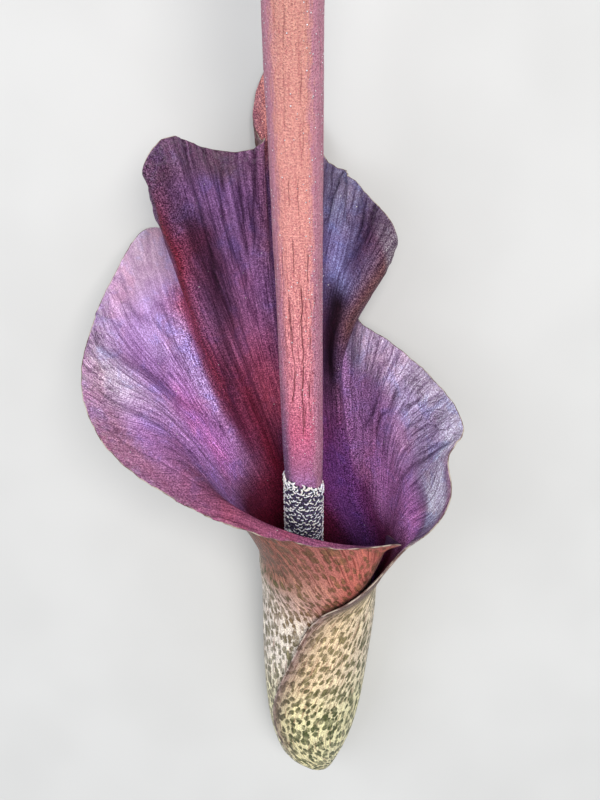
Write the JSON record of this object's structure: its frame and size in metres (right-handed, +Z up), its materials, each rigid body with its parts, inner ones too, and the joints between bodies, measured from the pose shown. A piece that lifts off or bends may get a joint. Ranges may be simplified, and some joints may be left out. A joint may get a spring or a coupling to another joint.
{
  "type": "cut konjac flower head",
  "caption": "Picked konjac bloom lying on its back: a rolled tube that opens to a fluted hood, with a long bare spike above bands of anthers and pistils.",
  "frame": {"origin": "middle of the footprint, on the surface that the flower head lies on", "axes": "+Z up from that surface, +Y along the flower head from its cut stalk to the tip of its spike, +X to the right as seen from above"},
  "size_m": [0.1717, 0.644, 0.1755],
  "materials": {
    "stalk": "satin",
    "spathe": "satin",
    "pistils": "satin",
    "anthers": "matte",
    "appendix": "matte"
  },
  "bodies": {
    "root": {"peduncle": "stalk", "spathe": "spathe", "female_zone": "pistils", "male_zone": "anthers", "appendix": "appendix"}
  },
  "joints": []
}
